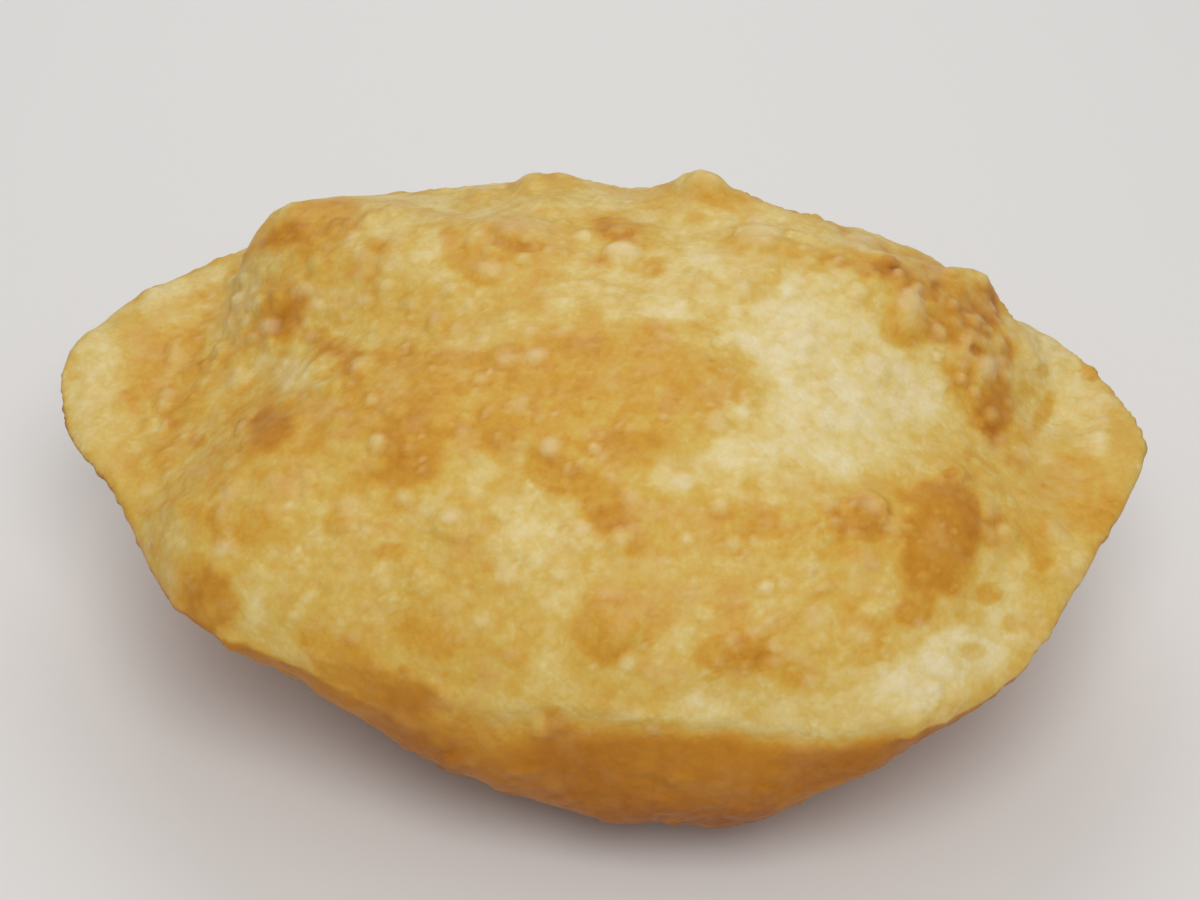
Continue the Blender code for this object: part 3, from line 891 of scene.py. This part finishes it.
def raise_crowded_bubbles(crust):
    """Adds the bubbles that crowd together in some places of the photograph."""
    chance = random.Random(BUBBLES_SEED)
    for x, y, half_x, half_y, tilt, count, least, most in BUBBLES.values():
        turn = math.radians(tilt)
        for _ in range(count):
            angle, far = chance.uniform(0.0, math.tau), math.sqrt(chance.random())
            along, across = far * half_x * math.cos(angle), far * half_y * math.sin(angle)
            radius = (least + (most - least) * chance.random() ** BUBBLE_POWER) * MM
            sizes = (radius, radius * chance.uniform(*BUBBLE_WIDTHS))
            rise = radius * BUBBLE_RISE * chance.uniform(*BUBBLE_HEIGHTS)
            pink = some_pink(chance, BUBBLE_PINKS, BUBBLE_PINK_ODDS)
            shades = (BUBBLE_EDGE, chance.uniform(*BUBBLE_TOPS), pink)
            column = x + along * math.cos(turn) - across * math.sin(turn)
            row = y + along * math.sin(turn) + across * math.cos(turn)
            crust.raise_seen(column, row, sizes, rise, 0.0, shades)


def raise_small_blisters(crust, shown):
    """Adds small blisters all over the crust, round in the photograph where it shows them."""
    chance = random.Random(SMALL_SEED)
    crowd = noises(crust.points, SMALL_CROWDS)
    side, up = Vector((1.0, 0.0, 0.0)), Vector((0.0, 0.0, 1.0))
    for _ in range(SMALL_COUNT):
        index = chance.randrange(len(crust.points))
        radius = SMALL_LEAST + SMALL_SPREAD * chance.random() ** SMALL_POWER
        rise = radius * SMALL_RISE * chance.uniform(*SMALL_HEIGHTS)
        sunk = SMALL_SUNK if chance.random() < SMALL_SUNK_ODDS else 0.0
        pink = some_pink(chance, SMALL_PINKS, SMALL_PINK_ODDS)
        shades = (BUBBLE_EDGE, chance.uniform(*SMALL_TOPS), pink)
        turned, stretch = chance.uniform(0.0, math.tau), chance.uniform(*SMALL_WIDTHS)
        if crowd[index] < chance.uniform(*SMALL_CROWDING):
            continue
        normal = Vector(crust.outward[index])
        level = normal.cross(side if abs(normal.z) > UPRIGHT else up).normalized()
        along = level * math.cos(turned) + normal.cross(level) * math.sin(turned)
        axes = (along, normal.cross(along), normal)
        sizes = (radius, radius * stretch, SMALL_DEPTH * radius * stretch)
        if shown[index] > SEEN_FROM:
            axes = crust.view.axes
            sizes = (radius, radius * stretch, SEEN_DEPTH * radius)
        crust.raise_blister(crust.points[index], normal, axes, sizes, rise, sunk, shades)


def past_seam(column, row):
    """How far below the front seam the photograph shows each point, in about millimetres."""
    columns, rows = zip(*SEAM)
    return (row - np.interp(column, columns, rows)) / PIXELS_PER_MM


def hidden_browning(values, crust, hidden):
    """The values with patches laid over the sides that the photograph doesn't show."""
    points = crust.points
    chance = random.Random(HIDDEN_SEED)
    bend = [noises(points, HIDDEN_NOISE, axis) for axis in range(3)]
    bent = points + HIDDEN_BEND * np.stack(bend, axis=1)
    for number in range(HIDDEN_SWEEPS + HIDDEN_COUNT):
        index = chance.randrange(len(points))
        if number < HIDDEN_SWEEPS:
            radius = HIDDEN_SWEEP_LEAST + HIDDEN_SWEEP_SPREAD * chance.random()
            level = chance.uniform(*HIDDEN_SWEEP_LEVELS)
        else:
            radius = HIDDEN_LEAST + HIDDEN_SPREAD * chance.random() ** HIDDEN_POWER
            level = chance.uniform(*HIDDEN_LEVELS)
        reach = HIDDEN_REACH * radius + 2.0 * HIDDEN_BEND
        found = near(crust.finder, Vector(points[index]), reach)
        away = np.linalg.norm(bent[found] - points[index], axis=1) / radius
        share = HIDDEN_COVER * hidden[found] * (1.0 - smoothstep(*PATCH_FADE, away))
        values[found] += (level - values[found]) * share
    return values


def top_browning(crust, flatter, place):
    """How brown the upper skin is: its ground, patches, spots and mottles."""
    shown = place[3]
    brown = DOME_BROWN + noises(crust.points, DOME_NOISE)
    brown = painted(brown, GROUND, place)
    ground = brown
    brown = hidden_browning(brown.copy(), crust, 1.0 - shown)
    brown = painted(brown, PATCHES, place)
    brown = painted(brown, DISCS, place, DISC_BEND, DISC_FADE)
    calm = 1.0 - PATCH_CALM * smoothstep(*PATCH_CALM_FROM, brown - ground)
    return brown + calm * noises(flatter, MOTTLES)


def belly_browning(points):
    """How brown the belly is, partly painted shade, and darkest where it rests as painted shadow.
    """
    deep = smoothstep(RIM_LEVEL, 0.0, points[:, 2])
    return BELLY_BROWN + BELLY_PAINTED_SHADOW * deep + noises(points, BELLY_NOISE)


def belly_and_seam(crust, column, row, shown):
    """From 0 to 1, how far each point is on the belly, and the seam's height there."""
    points, outward = crust.points, crust.outward
    upward = outward[:, 2] + noises(points, BELLY_EDGE_NOISE)
    belly = 1.0 - smoothstep(BELLY_FULL, BELLY_STARTS, upward)
    past = past_seam(column, row) + noises(points, SEAM_NOISE)
    front = shown * smoothstep(*SEAM_FACING, -outward[:, 1])
    soft = SEAM_SHARP + SEAM_SOFTER * smoothstep(0.0, SEAM_SOFT_OVER, SEAM_SOFT_BEFORE - column)
    start, end = SEAM_CHANGE
    belly = np.maximum(belly, smoothstep(start * soft, end * soft, past) * front)
    lip = SEAM_LIP * hump(past, SEAM_LIP_AT, SEAM_LIP_WIDTH)
    groove = SEAM_GROOVE / soft * hump(past, SEAM_GROOVE_AT, SEAM_GROOVE_WIDTH)
    return belly, front * (lip - groove)


def dressed_crust(view):
    """The bread's crust with its blisters, and attributes for how brown and how pink it is."""
    mesh = crust_base()
    crust = Crust(mesh, view)
    points, outward, edges = crust.points, crust.outward, edges_of(mesh)
    column, row = view.pixels(points)
    shown = view.seen(crust.tree, points, outward)
    for _ in range(SEEN_PASSES):
        shown = spread(shown, edges)

    raise_named_blisters(crust)
    named_haze = crust.haze.copy()
    raise_crowded_bubbles(crust)
    raise_small_blisters(crust, shown)
    height = crust.height
    back = np.array(view.back)
    flatter = points - np.outer(points @ back, back) * (1.0 - 1.0 / SEEN_STRETCH)
    height += noises(flatter, CRUST_SWELLS)

    warp = [noises(flatter, BEND_NOISE, shift) for shift in BEND_SHIFTS]
    place = (column, row, warp, shown)
    brown = top_browning(crust, flatter, place)
    belly, seam = belly_and_seam(crust, column, row, shown)
    height += seam
    # The belly's colour, partly painted shade, and darker towards the floor as painted shadow
    brown += (belly_browning(points) - brown) * belly
    brown += crust.brown * (1.0 - BELLY_CALM * belly)
    clean = 1.0 - BROWN_CLEAN * smoothstep(*BROWN_CLEAN_FROM, brown)
    # Pink of the blisters, partly painted highlights on their tops, less where the crust is brown
    haze = named_haze + (crust.haze - named_haze) * clean
    haze += painted(np.zeros(len(points)), HAZES, place)

    clear = smoothstep(0.0, 1.0, points[:, 2] / REST_CLEAR)
    points += outward * (height * clear)[:, None]
    points[:, 2] = np.maximum(points[:, 2], 0.0)
    store(mesh, points)
    mesh.shade_smooth()
    for name, values in (("brown", brown), ("haze", haze * (1.0 - belly))):
        layer = mesh.attributes.new(name, "FLOAT", "POINT")
        layer.data.foreach_set("value", np.clip(values, 0.0, 1.0).astype(np.float32))
    return new_object("bhatura_crust", mesh)


def new_material(name):
    """A new material and its shader."""
    material = bpy.data.materials.new(name)
    material.use_nodes = True
    return material, material.node_tree.nodes["Principled BSDF"]


def socket(node, name, value):
    """Sets a constant on one of a node's sockets."""
    node.inputs[name].default_value = value


def crust_material():
    """Fried dough: colour by how brown it is, with fine grain, tiny bubbles and oily gloss."""
    material, shader = new_material("fried_crust_dressed")
    nodes, links = material.node_tree.nodes, material.node_tree.links
    place = nodes.new("ShaderNodeTexCoord").outputs["Object"]

    def noise(scale, detail):
        node = nodes.new("ShaderNodeTexNoise")
        links.new(place, node.inputs["Vector"])
        socket(node, "Scale", scale)
        socket(node, "Detail", detail)
        socket(node, "Roughness", NOISE_ROUGH)
        return node.outputs["Fac"]

    def map_range(value, limits, change):
        node = nodes.new("ShaderNodeMapRange")
        node.interpolation_type = change
        links.new(value, node.inputs["Value"])
        for name, limit in zip(("From Min", "From Max", "To Min", "To Max"), limits):
            socket(node, name, limit)
        return node.outputs["Result"]

    def math_node(kind, *values):
        node = nodes.new("ShaderNodeMath")
        node.operation = kind
        for slot, value in enumerate(values):
            if isinstance(value, float):
                socket(node, slot, value)
            else:
                links.new(value, node.inputs[slot])
        return node.outputs["Value"]

    def attribute(name):
        node = nodes.new("ShaderNodeAttribute")
        node.attribute_name = name
        return node.outputs["Fac"]

    def cells(scale):
        """Bubble mounds of about this many to the metre, and one random shade for each."""
        node = nodes.new("ShaderNodeTexVoronoi")
        links.new(place, node.inputs["Vector"])
        socket(node, "Scale", scale)
        mound = map_range(node.outputs["Distance"], MOUND_FALL, "SMOOTHSTEP")
        split = nodes.new("ShaderNodeSeparateColor")
        links.new(node.outputs["Color"], split.inputs["Color"])
        return mound, split.outputs["Red"]

    brown = attribute("brown")
    parts = {"grain": noise(*GRAIN), "fine": noise(*FINE_GRAIN)}
    parts["mounds"], parts["shade"] = cells(MOUNDS)
    parts["wide mounds"], parts["wide shade"] = cells(WIDE_MOUNDS)
    speckle = 0.0
    for name, amount in SPECKLE.items():
        centred = math_node("SUBTRACT", parts[name], 0.5)
        speckle = math_node("MULTIPLY_ADD", centred, amount, speckle)
    quiet = map_range(brown, SPECKLE_QUIET, "LINEAR")
    level = math_node("MULTIPLY_ADD", speckle, quiet, brown)

    ramp = nodes.new("ShaderNodeValToRGB")
    stops = ramp.color_ramp.elements
    while len(stops) < len(CRUST_COLOURS):
        stops.new(0.5)
    for stop, (position, colour) in zip(stops, CRUST_COLOURS):
        stop.position = position
        stop.color = (*colour, 1.0)
    links.new(level, ramp.inputs["Fac"])

    cloud = math_node("MULTIPLY", math_node("SUBTRACT", noise(*CLOUDS), 0.5), CLOUD_GAIN)
    cloud = math_node("MINIMUM", math_node("MAXIMUM", cloud, 0.0), CLOUD_MOST)
    cloud = math_node("MULTIPLY", cloud, quiet)
    # Pink skin of the blisters, partly painted highlights on their tops
    cloud = math_node("MULTIPLY_ADD", attribute("haze"), HAZE_COVER, cloud)
    beige = nodes.new("ShaderNodeMix")
    beige.data_type = "RGBA"
    socket(beige, "B", (*HAZE_COLOUR, 1.0))
    links.new(ramp.outputs["Color"], beige.inputs["A"])
    links.new(cloud, beige.inputs["Factor"])
    links.new(beige.outputs["Result"], shader.inputs["Base Color"])

    rough = math_node("MULTIPLY_ADD", noise(*GLOSS), ROUGHNESS_VARIES, ROUGHNESS_LEAST)
    links.new(rough, shader.inputs["Roughness"])

    relief = 0.0
    for name, amount in RELIEF.items():
        relief = math_node("MULTIPLY_ADD", parts[name], amount, relief)
    bump = nodes.new("ShaderNodeBump")
    socket(bump, "Strength", RELIEF_STRENGTH)
    socket(bump, "Distance", RELIEF_HEIGHT)
    links.new(relief, bump.inputs["Height"])
    links.new(bump.outputs["Normal"], shader.inputs["Normal"])
    for name, value in SURFACE.items():
        socket(shader, name, value)
    return material


def add_camera(view):
    """Puts the scene's camera where the photograph was taken from."""
    lens = bpy.data.cameras.new("camera")
    lens.sensor_width = SENSOR_WIDTH
    lens.lens = FOCAL_PIXELS / PHOTO_WIDTH * SENSOR_WIDTH
    lens.clip_start = CLIP_START
    camera = new_object("camera", lens)
    camera.location = view.eye
    camera.rotation_euler = (-view.back).to_track_quat("-Z", "Y").to_euler()
    bpy.context.scene.camera = camera


def add_floor():
    """Adds a wide pale floor just under the bread."""
    data = bpy.data.meshes.new("floor")
    corners = [
        (x * FLOOR_HALF, y * FLOOR_HALF, 0.0) for x, y in ((-1, -1), (1, -1), (1, 1), (-1, 1))
    ]
    data.from_pydata(corners, [], [(0, 1, 2, 3)])
    material, shader = new_material("floor_pale")
    socket(shader, "Base Color", (*FLOOR_COLOUR, 1.0))
    socket(shader, "Roughness", FLOOR_ROUGHNESS)
    data.materials.append(material)
    floor = new_object("floor", data)
    floor.location.z = -FLOOR_BELOW


def add_studio_light():
    """Adds even light all round, and soft lights that aim at the bread."""
    world = bpy.data.worlds.new("studio")
    world.use_nodes = True
    back = world.node_tree.nodes["Background"]
    socket(back, "Color", (*AMBIENT_COLOUR, 1.0))
    socket(back, "Strength", AMBIENT_STRENGTH)
    bpy.context.scene.world = world
    for name, (place, size, power) in LIGHTS.items():
        lamp = bpy.data.lights.new(name, "AREA")
        lamp.shape = "DISK"
        lamp.size = size
        lamp.energy = power
        light = new_object(name, lamp)
        light.location = place
        light.rotation_euler = (LIGHTS_AIM - Vector(place)).to_track_quat("-Z", "Y").to_euler()


photo_view = PhotoView()
add_camera(photo_view)
crust = dressed_crust(photo_view)
crust.data.materials.append(crust_material())
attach(crust, "root")
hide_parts("bhatura")
add_floor()
add_studio_light()
bpy.context.scene.view_settings.view_transform = "Standard"
